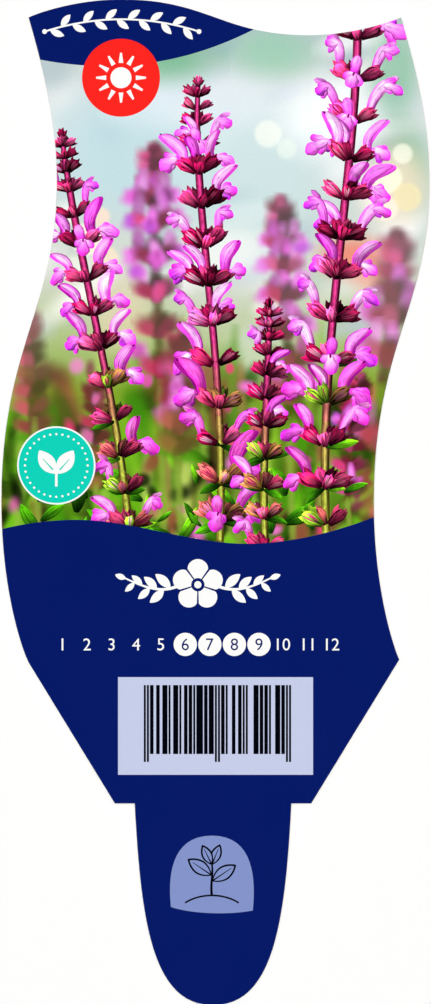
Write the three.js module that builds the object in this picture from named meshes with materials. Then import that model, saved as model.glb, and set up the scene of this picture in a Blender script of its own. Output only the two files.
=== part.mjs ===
// A stick-in plant label: one flat sheet of white plastic, die cut to a waved panel
// that tapers to two square shoulders and a round-tipped stake.
//
// Millimetres. The label lies on its back: +Y runs from the stake's tip to the top edge
// and +Z points out of the printed front. The origin is the middle of the label's
// bounding box, on its underside.

import * as THREE from 'three';

// ---------------------------------------------------------------- driving dimensions

const SHEET_THICKNESS = 0.6;

const PANEL_WIDTH = 63.7;     // from one waved side to the other, the same at every height
const SHOULDER_WIDTH = 33.6;  // across the two square steps above the stake
const SHOULDER_HEIGHT = 34.5; // of those steps, above the stake's tip
const STAKE_WIDTH = 26.8;     // at the shoulders, where the stake is widest
const TAPER = 0.612;          // how far each slanted side opens for each millimetre of height

const LEFT_CORNER_HEIGHT = 58.5; // where the slanted sides meet the waved ones
const RIGHT_CORNER_HEIGHT = 59.1;
const TOP_CORNER_HEIGHT = 168.9; // of both ends of the top edge
const CREST_HEIGHT = 172.0;      // of the top edge's highest point

const CURVE_STEPS = 24; // straight steps that each curve is cut into

// ---------------------------------------------------------------- outline
// x is measured from the stake's middle line and y from the stake's tip. Each list is a
// chain of Bézier curves: its first point and every third one after it lie on the
// outline, and the two between them pull the curve.

const at = (x, y) => new THREE.Vector2(x, y);

// The stake's right-hand side, from its round tip up to the shoulder.
const STAKE_SIDE = [
  at(0, 0),
  at(10.2, 0),
  at(12.35, 13.6),
  at(STAKE_WIDTH / 2, SHOULDER_HEIGHT),
];

const TOP_LEFT = at(-31.55, TOP_CORNER_HEIGHT);
const TOP_RIGHT = at(TOP_LEFT.x + PANEL_WIDTH, TOP_CORNER_HEIGHT);

// The panel's left-hand side above its lower corner, up to the top edge. The right-hand
// side is the same wave, one panel width further on.
const SIDE_WAVE = [
  at(-32.6, 60.6),
  at(-36.2, 70.9),
  at(-36.2, 86.0),
  at(-36.2, 113.0),
  at(-26.7, 119.0),
  at(-26.7, 140.6),
  at(-26.7, 150.4),
  at(-28.6, 158.7),
  TOP_LEFT,
];

// The top edge, from its right-hand end: a shallow dip, then the crest.
const TOP_WAVE = [
  TOP_RIGHT,
  at(25.8, 166.4),
  at(19.3, 165.85),
  at(16.5, 165.85),
  at(1.55, 165.85),
  at(-0.8, CREST_HEIGHT),
  at(-15.7, CREST_HEIGHT),
  at(-23.6, CREST_HEIGHT),
  at(-30.5, 169.5),
  TOP_LEFT,
];

// The point where a slanted side, left (-1) or right (1), reaches the given height.
function taperPoint(side, height) {
  return at(side * (SHOULDER_WIDTH / 2 + (height - SHOULDER_HEIGHT) * TAPER), height);
}

// Draws a chain of curves on from where the path has got to, which is the chain's start.
function followCurves(path, chain) {
  for (let i = 1; i < chain.length; i += 3) {
    const [pullOut, pullIn, end] = chain.slice(i, i + 3);
    path.bezierCurveTo(pullOut.x, pullOut.y, pullIn.x, pullIn.y, end.x, end.y);
  }
}

// The whole outline, counter-clockwise from the stake's tip.
function labelOutline() {
  const shoulder = SHOULDER_WIDTH / 2;
  const leftCorner = taperPoint(-1, LEFT_CORNER_HEIGHT);
  const rightCorner = taperPoint(1, RIGHT_CORNER_HEIGHT);
  const rightWave = SIDE_WAVE.map((p) => at(p.x + PANEL_WIDTH, p.y));
  const stakeLeft = STAKE_SIDE.map((p) => at(-p.x, p.y)).reverse();

  const outline = new THREE.Shape();
  outline.moveTo(STAKE_SIDE[0].x, STAKE_SIDE[0].y);
  followCurves(outline, STAKE_SIDE);
  outline.lineTo(shoulder, SHOULDER_HEIGHT);
  outline.lineTo(rightCorner.x, rightCorner.y);
  followCurves(outline, [rightCorner, ...rightWave]);
  followCurves(outline, TOP_WAVE);
  followCurves(outline, [...SIDE_WAVE].reverse().concat(leftCorner));
  outline.lineTo(-shoulder, SHOULDER_HEIGHT);
  outline.lineTo(stakeLeft[0].x, stakeLeft[0].y);
  followCurves(outline, stakeLeft);
  return outline;
}

// ---------------------------------------------------------------- material

const PRINTED_PLASTIC = new THREE.MeshStandardMaterial({
  name: 'printed_plastic',
  color: 0x001b64, // the navy ink that covers most of the white sheet
  roughness: 0.35,
  metalness: 0,
});

// ---------------------------------------------------------------- the label

function labelSheet() {
  const geometry = new THREE.ExtrudeGeometry(labelOutline(), {
    depth: SHEET_THICKNESS,
    bevelEnabled: false,
    curveSegments: CURVE_STEPS,
  });
  // The box's middle becomes the origin in plan, and the underside stays at z = 0.
  geometry.computeBoundingBox();
  const middle = geometry.boundingBox.getCenter(new THREE.Vector3());
  geometry.translate(-middle.x, -middle.y, 0);

  const sheet = new THREE.Mesh(geometry, PRINTED_PLASTIC);
  sheet.name = 'label_sheet';
  return sheet;
}

const plantLabel = new THREE.Group();
plantLabel.name = 'plant_label';
plantLabel.add(labelSheet());

export default plantLabel;
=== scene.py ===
import math
import random

import bmesh
import bpy
import numpy as np
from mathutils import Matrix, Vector
from mathutils.geometry import delaunay_2d_cdt


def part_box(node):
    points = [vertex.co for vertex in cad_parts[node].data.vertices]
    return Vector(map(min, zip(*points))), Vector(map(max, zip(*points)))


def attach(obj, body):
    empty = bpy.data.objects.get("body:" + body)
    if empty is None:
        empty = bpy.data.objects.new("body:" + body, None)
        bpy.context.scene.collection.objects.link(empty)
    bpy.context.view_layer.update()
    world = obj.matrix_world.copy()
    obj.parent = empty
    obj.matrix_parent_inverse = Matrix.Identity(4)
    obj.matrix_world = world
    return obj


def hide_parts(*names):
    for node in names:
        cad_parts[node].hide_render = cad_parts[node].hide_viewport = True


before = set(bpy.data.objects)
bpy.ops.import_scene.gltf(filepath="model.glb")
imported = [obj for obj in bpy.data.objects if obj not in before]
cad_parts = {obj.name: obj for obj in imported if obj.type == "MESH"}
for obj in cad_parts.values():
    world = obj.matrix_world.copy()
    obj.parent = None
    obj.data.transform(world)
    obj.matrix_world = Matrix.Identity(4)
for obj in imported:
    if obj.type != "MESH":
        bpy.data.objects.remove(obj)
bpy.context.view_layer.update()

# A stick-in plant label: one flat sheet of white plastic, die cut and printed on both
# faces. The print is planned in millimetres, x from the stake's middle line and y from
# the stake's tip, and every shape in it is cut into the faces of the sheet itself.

MM = 0.001
SHEET = "label_sheet"
SHEET_LOW, SHEET_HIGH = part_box(SHEET)
THICKNESS = (SHEET_HIGH.z - SHEET_LOW.z) / MM


def put_in_scene(name, data):
    thing = bpy.data.objects.new(name, data)
    bpy.context.scene.collection.objects.link(thing)
    return thing


# ------------------------------------------------------------------ sizes, millimetres

FRONT_ROUND = 0.09  # the die drags the printed edge down to this radius
BACK_ROUND = 0.04
ROUND_STEPS = 4

# The printed grounds run past the cut line, which trims them.
PICTURE_GROUND = (-40, 76, 40, 175)  # left, bottom, right, top
BAND_FOOT = [(-29.6, 161.7), (-16.0, 159.05), (-4.0, 161.3), (7.04, 166.9)]
BAND_LEFT = [(-34, 161.0)]
BAND_ABOVE = [(8.6, 167.6), (8, 175), (-36, 175)]
ABOVE_ALL = 200
FIELD_TOP = [
    (-37.5, 81.0), (-34.9, 81.9), (-28.9, 83.0),
    (-23.3, 83.0), (-13.8, 83.0), (-4.0, 78.9),
    (5.8, 78.9), (13.9, 78.9), (22.5, 81.4), (28.6, 83.9),
]
FIELD_BELOW = [(-40, -2), (40, -2), (40, 84.2), (29.5, 84.2)]
FIELD_LEFT = [(-40, 81)]

VINE_MIDDLE, VINE_TOP = -15.6, 168.6
VINE_HALF, VINE_RISE = 13.2, 2.1  # half its width, and how far its middle stands over its ends
RED_BADGE = (-15.74, 158.6, 6.67)  # x, y, radius
TEAL_BADGE = (-26.8, 92.3, 6.7)
TITLE = (-2.6, 71.9)
FRONT_MONTHS = (-2.65, 61.7, 2.05)  # x and y of the row's middle, height of its figures
MONTH_PITCH = 4.2
FLOWERING_MONTHS = range(6, 10)

CODE_PANEL = (-16.25, 39.4, 17.1, 56.1)  # left, bottom, right, top
CODE_BARS = (-11.8, 42.95, 13.3, 54.75)
GUARD_FOOT = 41.6
MODULES = 95  # equal steps across the bars
GUARDS = (0, 2, 46, 48, 92, 94)  # the modules of the longer bars
BAR_SPREAD = 0.35  # modules that the ink of each bar spreads by
EMBLEM = (-0.2, 22.4)

# The back, read from behind.
SIGNS_MIDDLE = -1.5  # of the three columns of care signs
SIGNS_TOP = 132.0  # middle of the upper row
SIGN_PITCH = 16.6
SIGN_HALF = 7.2
SIGN_CORNER = 1.6
BACK_MONTHS = (2.6, 86.0, 2.2)
MONTH_RULES = ((-22.4, 80.5, 27.6, 80.85), (-22.4, 91.5, 27.6, 91.85))
SOIL_LINE = (-9.5, 33.0, 9.5, 33.5)  # the stake goes into the soil up to here
STAKE_ARROW = (0, 30.0, 0, 9.0)  # from and to

SAME_POINT = 1e-4  # corners of a blade closer than this are one
SMALLEST_SHAPE = 1e-3  # square millimetres: less than this is left off the print
HAIRLINE = 0.12  # the half width below which a blade doesn't show out of focus
THIN = 0.2  # the half width up to which a blade's outline carries its shading alone
NARROW = 0.35  # the half width below which one row of points inside it is enough
BLADE_STEPS = 2.0  # to each millimetre of a blade's side
GRID = 0.62  # between the points that carry the soft background
GRID_MARGIN = 0.15  # that they keep from the navy borders
NET_AREA = (-37, 78, 38, 172)  # left, bottom, right, top of the same points
BEND_LIMIT = 0.012  # how far its colour may stray between them before more are added

# ------------------------------------------------------------------ inks


def linear(colour):
    """A colour given in 0-255 steps as linear light."""
    c = np.asarray(colour, float) / 255
    return np.where(c <= 0.04045, c / 12.92, ((c + 0.055) / 1.055) ** 2.4)


INKS = {
    "bare_plastic": (250, 250, 248),
    "picture_ink": None,  # its colours are worked out point by point
    "navy_ink": (0, 22, 100),
    "red_ink": (250, 34, 26),
    "teal_ink": (4, 208, 183),
    "lilac_ink": (196, 203, 231),
    "blue_ink": (130, 146, 200),
    "black_ink": (2, 4, 12),
    "cut_plastic": (244, 244, 240),
}
INK_NAMES = list(INKS)
BARE, PICTURE, NAVY, RED, TEAL, LILAC, BLUE, BLACK, CUT_EDGE = INK_NAMES

# ------------------------------------------------------------------ flat shapes


def arm(x, y, angle, length):
    """The point that far from (x, y), at an angle in degrees."""
    a = math.radians(angle)
    return x + length * math.cos(a), y + length * math.sin(a)


def ray(x, y, angle, start, end):
    """A straight line that points away from (x, y)."""
    return [arm(x, y, angle, start), arm(x, y, angle, end)]


def curve_points(chain, steps=14):
    """Points along a chain of Bézier curves: every third point of it lies on them."""
    out = [chain[0]]
    for i in range(0, len(chain) - 3, 3):
        p = np.array(chain[i:i + 4])
        for t in np.linspace(0, 1, steps + 1)[1:]:
            s = 1 - t
            q = s ** 3 * p[0] + 3 * s * s * t * p[1] + 3 * s * t * t * p[2] + t ** 3 * p[3]
            out.append(tuple(q))
    return out


def disc(x, y, r, sides):
    return [arm(x, y, 360 * k / sides, r) for k in range(sides)]


def box(left, bottom, right, top):
    return [(left, bottom), (right, bottom), (right, top), (left, top)]


def stroke(points, width, end_width=None):
    """A drawn line as an outline. Its width runs evenly from width to end_width."""
    end_width = width if end_width is None else end_width
    p = np.array(points, float)
    run = np.gradient(p, axis=0)
    run /= np.linalg.norm(run, axis=1)[:, None]
    side = np.stack([-run[:, 1], run[:, 0]], 1)
    half = np.linspace(width, end_width, len(p))[:, None] / 2
    return [tuple(q) for q in p - side * half] + [tuple(q) for q in (p + side * half)[::-1]]


def signed_area(outline):
    pairs = zip(outline, outline[1:] + outline[:1])
    return sum(a[0] * b[1] - b[0] * a[1] for a, b in pairs) / 2


def smooth(t):
    """From 0 to 1 with a soft start and end."""
    t = np.clip(t, 0, 1)
    return t * t * (3 - 2 * t)


def bell(t, middle, half):
    return np.exp(-((t - middle) / half) ** 2)


LIGHT_SIDE = np.array([-0.64, 0.77])  # the picture's sun stands at the upper left
CONTRAST = 1.3
PIVOT = 0.62  # the lightness that the contrast leaves alone

INNER_ROWS = [-0.55, 0.0, 0.55]  # across a blade: points there carry its shading
EDGE_STRENGTH = 0.8  # of the colour that a petal's edge turns to
STRIPE_MIDDLE, STRIPE_HALF, FOLD_HALF = 0.1, 0.38, 0.22  # across a blade
ROUNDNESS = 0.35  # how much of the light falls on a blade's raised middle


def developed(c):
    """Colours with the contrast of the printed picture."""
    return np.clip(PIVOT * (np.maximum(c, 0) / PIVOT) ** CONTRAST, 0, 1)


class Blade:
    """A petal, sepal, leaf or stem piece: an axis that bends, and a width that swells and
    closes along it. u runs from its foot to its tip and v across it, from -1 to 1.

    half is its greatest half width, neck the width of its foot as a share of that, and
    bend how far aside its tip lies as a share of its length. A belly above 1 moves the
    swell towards the tip, and a low blunt squares its ends. foot, tip, edge and stripe are
    colours, light and fold its shading, and lines the strength of the veins drawn on it."""

    def __init__(self, x, y, angle, length, half, foot, tip, bend=0.0, neck=0.25,
                 belly=1.0, blunt=0.6, light=0.25, fold=0.0, edge=None, lines=0.0, seed=0.0,
                 stripe=None, ruffle=0.0, start=0.0, curl=2, line_width=1.0):
        self.x, self.y, self.length, self.half = x, y, length, half
        a = math.radians(angle)
        self.run = np.array([math.cos(a), math.sin(a)])
        self.side = np.array([-math.sin(a), math.cos(a)])
        self.angle, self.bend, self.neck = angle, bend, neck
        self.curl = curl  # above 2 the bend gathers towards the tip
        self.belly, self.blunt, self.ruffle = belly, blunt, ruffle
        self.foot, self.tip = linear(foot), linear(tip)
        self.edge = None if edge is None else linear(edge)
        self.stripe = None if stripe is None else linear(stripe)
        self.light, self.fold, self.lines, self.seed = light, fold, lines, seed
        self.start = start  # of the drawn lines, so that they run on from piece to piece
        self.line_width = line_width  # of the same lines, 1 for the finest

    def width(self, u):
        swell = np.sin(np.pi * np.clip(u, 0, 1) ** self.belly) ** self.blunt
        wave = 1 + self.ruffle * np.sin(11 * u + self.seed)
        return self.half * wave * (
            self.neck * (1 - u) ** 1.5 + (1 - self.neck * (1 - u)) * swell)

    def slope(self, u):
        return self.curl * self.bend * u ** (self.curl - 1)

    def sway(self, u):
        return self.bend * self.length * u ** self.curl

    def point(self, u, v):
        slope = self.slope(u)
        off = v * self.width(u) / np.sqrt(1 + slope * slope)
        p = np.outer(u * self.length - slope * off, self.run)
        return p + np.outer(self.sway(u) + off, self.side) + (self.x, self.y)

    def on_axis(self, u):
        return self.point(np.array([u]), np.array([0.0]))[0]

    def local(self, xy):
        """The u and v of the given points, closed in on step by step."""
        d = xy - (self.x, self.y)
        along_run, along_side = d @ self.run, d @ self.side

        def from_axis(u):
            return self.slope(u), along_run - u * self.length, along_side - self.sway(u)

        u = np.clip(along_run / self.length, 0, 1)
        for _ in range(4):
            slope, ahead, aside = from_axis(u)
            u = np.clip(u + (ahead + slope * aside) / (1 + slope * slope) / self.length, 0, 1)
        slope, ahead, aside = from_axis(u)
        off = (aside - slope * ahead) / np.sqrt(1 + slope * slope)
        return u, np.clip(off / np.maximum(self.width(u), 1e-6), -1, 1)

    def outline(self, steps):
        # The points are closer together at both ends, where it curves most.
        u = (1 - np.cos(np.pi * np.linspace(0, 1, steps + 1))) / 2
        ones = np.ones(steps + 1)
        up, down = self.point(u, -ones), self.point(u, ones)[::-1]
        if self.blunt == 0:  # its square ends carry points too, for the shading across
            ends = [self.point(np.full(3, end), np.array(INNER_ROWS)) for end in (1.0, 0.0)]
            ring = np.concatenate([up, ends[0], down, ends[1][::-1]])
        else:
            ring = np.concatenate([up, down])
        apart = np.linalg.norm(ring - np.roll(ring, 1, 0), axis=1) > SAME_POINT
        return [tuple(p) for p in ring[apart]]

    def inner_points(self, steps):
        rows = [0.0] if self.half < NARROW else INNER_ROWS
        u = np.repeat(np.linspace(0.14, 0.86, steps), len(rows))
        return [tuple(p) for p in self.point(u, np.tile(rows, steps))]

    def tint(self, xy):
        """Colour and drawn-line coordinates at the given points."""
        u, v = self.local(xy)
        c = self.foot + (self.tip - self.foot) * smooth(u)[:, None]
        if self.edge is not None:
            near_edge = np.maximum(np.abs(v) ** 4, u ** 12)
            c += (self.edge - c) * (EDGE_STRENGTH * near_edge)[:, None]
        if self.stripe is not None:
            c += (self.stripe - c) * bell(v, STRIPE_MIDDLE, STRIPE_HALF)[:, None]
        shade = 1 + self.light * (LIGHT_SIDE @ self.side) * v
        shade += ROUNDNESS * self.light * (1 - v * v)
        shade -= self.fold * bell(v, 0, FOLD_HALF)
        lines = np.stack([self.start + u * self.length, v * self.half / self.line_width,
                          np.full(len(u), self.seed)], 1)
        return developed(c * shade[:, None]), lines


class Page:
    """One printed face: flat shapes laid over one another, the last one on top."""

    def __init__(self, mirrored=False):
        self.outlines, self.inks, self.blades = [], [], []
        self.loose = []  # (points inside a shape, how many shapes were laid by then)
        self.mirrored = mirrored

    def lay(self, outline, ink, blade=None):
        side = -1 if self.mirrored else 1
        outline = [(side * x, y) for x, y in outline]
        area = signed_area(outline)
        if abs(area) < SMALLEST_SHAPE:
            return
        self.outlines.append(outline if area > 0 else outline[::-1])
        self.inks.append(INK_NAMES.index(ink))
        self.blades.append(blade)

    def ink_of(self, shape):
        """The number of a shape's ink. Below 0 stands for no shape, so bare plastic."""
        return self.inks[shape] if shape >= 0 else INK_NAMES.index(BARE)

    def blade(self, blade, fine=1.0):
        """Lays a blade in the picture, with the points that carry its shading."""
        steps = max(4, round(blade.length * BLADE_STEPS * fine))
        self.lay(blade.outline(steps), PICTURE, blade)
        if blade.half > THIN:
            self.loose.append((blade.inner_points(max(2, steps - 3)), len(self.outlines)))

    def line(self, points, ink, width, end_width=None):
        self.lay(stroke(points, width, end_width), ink)

    def leaf(self, x, y, angle, length, half, ink, bend=0.0, blunt=0.8, belly=1.0, neck=0.0):
        """A plain one-colour leaf or petal."""
        shape = Blade(x, y, angle, length, half, (0, 0, 0), (0, 0, 0), bend, neck, belly, blunt)
        self.lay(shape.outline(max(10, round(4 * length))), ink)

    def bare_points(self):
        """The loose points that no later shape covers."""
        points = np.array([p for batch, _ in self.loose for p in batch])
        layer = np.array([n for batch, n in self.loose for _ in batch])
        order = np.argsort(points[:, 1])
        points, layer = points[order], layer[order]
        shown = np.ones(len(points), bool)
        for n, outline in enumerate(self.outlines):
            corners = np.array(outline)
            (left, bottom), (right, top) = corners.min(0), corners.max(0)
            i, j = np.searchsorted(points[:, 1], (bottom, top))
            near = i + np.flatnonzero(
                shown[i:j] & (layer[i:j] <= n)
                & (points[i:j, 0] > left) & (points[i:j, 0] < right))
            if len(near):
                shown[near[inside(corners, points[near])]] = False
        return [tuple(p) for p in points[shown]]


class Haze:
    """The picture's out-of-focus depth: soft patches over a tall gradient."""

    def __init__(self, stops):
        self.heights = [s[0] for s in stops]
        self.stops = np.array([linear(s[1]) for s in stops])
        self.patches = []
        self.blur, self.veiling = 1.0, 0.0

    def patch(self, x, y, rx, ry, colour, strength=1.0, blur=None, turn=0.0):
        blur = self.blur if blur is None else blur
        colour = colour if isinstance(colour, np.ndarray) else linear(colour)
        self.patches.append((x, y, rx, ry, colour, strength, blur, turn))

    def blade(self, blade, fine=1.0):
        """A blade out of focus, which fades into what lies behind it."""
        if blade.half < HAIRLINE:
            return
        mid = blade.on_axis(0.5)
        mean = 0.3 * blade.foot + 0.7 * blade.tip
        mean = mean + (self.gradient(mid[1]) - mean) * self.veiling
        thin = min(1.0, (blade.half / (0.5 * self.blur + 0.01)) ** 0.5)
        self.patch(*mid, 0.5 * blade.length, 0.8 * blade.half, mean, 0.9 * thin,
                   self.blur, blade.angle)

    def gradient(self, y):
        return np.stack([np.interp(y, self.heights, s) for s in self.stops.T], -1)

    def colours(self, xy):
        order = np.argsort(xy[:, 1])
        x, y = xy[order].T
        # The heights waver, or the gradient would show as level bands.
        c = self.gradient(y + 1.4 * np.sin(x / 7.0 + 1.0) + 0.8 * np.sin(x / 2.9 + 2.0))
        for px, py, rx, ry, colour, strength, blur, turn in self.patches:
            rx, ry = rx + 0.3 * blur, ry + 0.3 * blur
            reach = max(rx, ry) + blur
            i, j = np.searchsorted(y, (py - reach, py + reach))
            near = i + np.flatnonzero(np.abs(x[i:j] - px) < reach)
            if not len(near):
                continue
            a = math.radians(turn)
            dx, dy = x[near] - px, y[near] - py
            along = (dx * math.cos(a) + dy * math.sin(a)) / rx
            across = (dy * math.cos(a) - dx * math.sin(a)) / ry
            far = np.hypot(along, across)
            edge = blur / min(rx, ry)
            cover = strength * smooth((1 + edge - far) / (2 * edge + 1e-6))
            c[near] += (colour - c[near]) * cover[:, None]
        out = np.empty_like(c)
        out[order] = developed(c)
        return out


# ------------------------------------------------------------------ the flower picture

# Two colours in a pair are those of a blade's foot and of its tip.
PETAL = [((206, 52, 196), (255, 172, 252)), ((226, 80, 214), (255, 206, 254)),
         ((186, 36, 178), (250, 130, 240)), ((232, 96, 222), (255, 150, 250)),
         ((214, 60, 206), (255, 190, 250))]
PETAL_EDGE = (204, 34, 180)
PETAL_GLOW = (255, 184, 250)
LIP = [((255, 176, 252), (236, 96, 228)), ((255, 206, 254), (226, 70, 220)),
       ((246, 140, 244), (176, 48, 206)), ((255, 160, 250), (214, 60, 196))]
LIP_EDGE = (214, 52, 196)
LATE_PETAL = [((184, 44, 158), (250, 150, 226)), ((212, 66, 190), (254, 178, 240)),
              ((166, 32, 148), (242, 120, 212)), ((212, 84, 192), (252, 146, 228)),
              ((192, 50, 174), (252, 164, 234))]
LATE_LIP = [((252, 160, 238), (222, 80, 198)), ((250, 160, 236), (208, 58, 188)),
            ((232, 118, 214), (158, 40, 160)), ((246, 142, 230), (198, 56, 178))]
FRESH_TONES = PETAL, LIP
LATE_TONES = LATE_PETAL, LATE_LIP
LATE_FROM = 0.4  # how far a joint has greened when its flowers turn late
CUP = [((36, 0, 16), (172, 34, 94)), ((52, 2, 26), (210, 72, 136)),
       ((24, 0, 10), (116, 12, 60)), ((76, 8, 42), (228, 100, 160)),
       ((40, 0, 18), (148, 20, 80)), ((60, 8, 32), (188, 62, 112))]
OLD_CUP = [((44, 18, 16), (180, 100, 96)), ((56, 46, 14), (164, 120, 78)),
           ((56, 4, 26), (190, 72, 112)), ((34, 50, 8), (122, 150, 50))]
RIB = [(244, 136, 176), (224, 100, 146), (200, 74, 120), (236, 152, 172), (176, 50, 100)]
HAZE_LEAF = [((90, 170, 20), (170, 226, 70)), ((12, 24, 4), (28, 50, 8)),
             ((8, 14, 6), (20, 34, 8)), ((110, 60, 50), (170, 110, 80))]
LEAF = [((22, 70, 4), (104, 184, 22)), ((36, 92, 6), (146, 216, 40)),
        ((14, 42, 4), (70, 134, 16))]
STYLE = (120, 0, 70), (60, 0, 40)
THROAT = (110, 4, 84), (190, 30, 160)
STEM_DARK = (92, 14, 56), (92, 84, 24)  # when fresh and when old
STEM_LIT = (228, 84, 158), (196, 204, 96)
SUNNY_SIDE, SHADED_SIDE = 1.2, 0.76  # brightness of a joint's cups, left and right

# How each kind of blade swells, catches the light and is lined.
TOOTH_FORM = dict(neck=0.3, belly=1.5, blunt=1.1, light=0.6, lines=1.2, line_width=1.6)
BELL_FORM = dict(neck=0.42, light=1.0, lines=2.1, line_width=2.2)
RIB_FORM = dict(belly=1.3, light=0.2)
LIP_FORM = dict(neck=0.35, belly=1.5, blunt=0.5, light=0.8, edge=LIP_EDGE, lines=0.5,
                ruffle=0.16)
BOWL_FORM = dict(neck=0.9, belly=1.2, blunt=0.5, light=0.6, edge=PETAL_EDGE, lines=0.4)
INSIDE_FORM = dict(blunt=0.46, light=0.3, lines=0.4, ruffle=0.07, curl=3)
HOOD_FORM = dict(blunt=0.46, light=0.65, edge=PETAL_EDGE, lines=0.7, ruffle=0.07, curl=3)
TUBE_FORM = dict(neck=0.55, belly=1.7, blunt=0.35, light=0.7, edge=PETAL_EDGE, lines=0.6)
CURLED_FORM = dict(neck=0.8, belly=1.1, blunt=0.5, light=0.5, lines=0.4, ruffle=0.1)
BROW_FORM = dict(neck=0.5, belly=1.3, blunt=0.5, light=0.7, edge=PETAL_EDGE, lines=0.5)
FACE_FORM = dict(neck=0.3, belly=1.45, blunt=0.5, light=0.6, edge=LIP_EDGE, lines=0.45,
                 ruffle=0.13)
BRACT_FORM = dict(blunt=0.8, light=0.8, fold=0.35, lines=0.7)
STEM_FORM = dict(neck=0.0, blunt=0.0, light=0.5, lines=0.5)

CUP_TEETH = ((-18, 1.04, 0.8), (17, 1.0, 1.2), (-2, 1.1, 1.0))  # turn, length, brightness
CUP_RIBS = (-15, -6, 3, 13)  # turns
LIP_LOBES = ((-36, 0.58, 0.19), (38, 0.66, 0.2), (4, 0.84, 0.29))  # turn, length, half width
FACE_LOBES = ((-56, 0.56, 0.21), (52, 0.56, 0.21), (0, 0.72, 0.33))
TIP_BUDS = ((-26, 0.42), (24, 0.42), (0, 0.5))  # turn, size


def toned(colour, gain):
    return tuple(min(255, gain * c) for c in colour)


def cup(canvas, rng, x, y, angle, size, tones, gain=1.0, wide=1.0, ribs=0.75):
    """A ribbed calyx: a bell, open or still folded, whose mouth ends in sharp teeth."""
    foot, tip = rng.choice(tones)
    foot, tip = toned(foot, gain), toned(tip, gain)
    seed = rng.uniform(0, 90)
    opened = rng.uniform(0, 1)
    spread = wide * (0.75 + 0.4 * opened)
    for turn, reach, glow in CUP_TEETH:
        canvas.blade(Blade(
            x, y, angle + spread * turn + rng.uniform(-4, 4),
            size * reach * rng.uniform(0.94, 1.06), 0.15 * wide * size, foot, toned(tip, glow),
            bend=rng.uniform(-0.12, 0.12), seed=seed + turn, **TOOTH_FORM), 0.8)
    canvas.blade(Blade(
        x, y, angle, 0.94 * size, (0.3 + 0.05 * opened) * wide * size, foot, tip,
        bend=rng.uniform(-0.1, 0.1), belly=1.4 + 0.7 * opened, blunt=0.7 - 0.35 * opened,
        seed=seed, **BELL_FORM), 1.1)
    rib = toned(rng.choice(RIB), gain)
    for turn in CUP_RIBS:
        if rng.random() < ribs:
            start = arm(x, y, angle + spread * turn, 0.24 * size)
            canvas.blade(Blade(*start, angle + 0.95 * spread * turn + rng.uniform(-3, 3),
                               size * rng.uniform(0.5, 0.72), 0.032 * size, toned(rib, 0.6), rib,
                               bend=-0.006 * turn * spread, **RIB_FORM), 0.8)


def lip(canvas, rng, x, y, angle, out, size, seed, lobes):
    """The lower lip: two small lobes and a broad one that folds down between them."""
    droop = rng.uniform(-12, 18)
    for turn, reach, half in LIP_LOBES:
        canvas.blade(Blade(
            x, y, angle - out * (droop + turn), reach * size * rng.uniform(0.8, 1.15),
            half * size * rng.uniform(0.85, 1.15), *rng.choice(lobes),
            bend=-out * rng.uniform(0.1, 0.5), seed=seed + turn, **LIP_FORM), 2.0)


def side_flower(canvas, rng, x, y, up, out, size, tones):
    """An open flower from the side: a narrow tube that arches into a flattened hood, over
    a lip that hangs outwards."""
    petals, lobes = tones
    foot, tip = rng.choice(petals)
    glow = rng.uniform(0.78, 1.08)
    foot, tip = toned(foot, glow), toned(tip, glow)
    seed = rng.uniform(0, 90)
    hang = up - out * rng.uniform(46, 80)
    bowl = arm(x, y, hang, 0.38 * size)
    canvas.blade(Blade(x, y, hang, 0.7 * size, 0.19 * size, foot, tip, bend=-0.3 * out,
                       seed=seed, **BOWL_FORM))
    lean = up + out * rng.uniform(-6, 26)
    arch = rng.uniform(0.45, 0.95)
    length = rng.uniform(1.25, 1.7) * size / (0.8 + 0.5 * arch)
    half = rng.uniform(0.26, 0.34) * size
    swell = dict(neck=rng.uniform(0.36, 0.6), belly=rng.uniform(1.25, 1.75))
    # Its shaded inside shows past the outer side.
    canvas.blade(Blade(*arm(x, y, hang, 0.06 * size), lean - 2 * out, 0.97 * length,
                       0.92 * half, toned(foot, 0.85), toned(foot, 1.1),
                       bend=-out * (arch + 0.08), seed=seed + 5, **swell, **INSIDE_FORM), 1.2)
    hood = Blade(x, y, lean, length, 0.86 * half, foot, tip, bend=-out * arch, seed=seed + 7,
                 stripe=rng.choice((None, PETAL_GLOW, tip)), **swell, **HOOD_FORM)
    fork = lean - out * (math.degrees(math.atan(3 * arch)) + rng.uniform(0, 30))
    canvas.blade(Blade(*hood.on_axis(0.92), fork, rng.uniform(0.22, 0.42) * size,
                       0.035 * size, *STYLE, bend=0.2 * out))
    canvas.blade(hood, 1.5)
    lip(canvas, rng, *bowl, hang - 36 * out, out, size, seed, lobes)


def hooked_flower(canvas, rng, x, y, up, out, size, tones):
    """An open flower that climbs beside the stem: a long tube whose lips curl over at its
    end."""
    petals, lobes = tones
    foot, tip = rng.choice(petals)
    seed = rng.uniform(0, 90)
    lean = up + out * rng.uniform(-14, 10)
    tube = Blade(x, y, lean, rng.uniform(1.0, 1.35) * size, rng.uniform(0.21, 0.27) * size,
                 toned(foot, 0.8), tip, bend=-out * rng.uniform(0.15, 0.5), seed=seed,
                 stripe=rng.choice((None, tip)), **TUBE_FORM)
    mouth = tube.on_axis(0.86)
    turned = lean - out * rng.uniform(30, 55)
    canvas.blade(Blade(*mouth, turned + 30 * out, 0.5 * size, 0.17 * size, toned(foot, 0.7),
                       toned(tip, 0.85), bend=-0.9 * out, seed=seed + 3, **CURLED_FORM))
    canvas.blade(tube, 1.5)
    lip(canvas, rng, *mouth, turned - 44 * out, out, 0.8 * size, seed, lobes)


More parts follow.
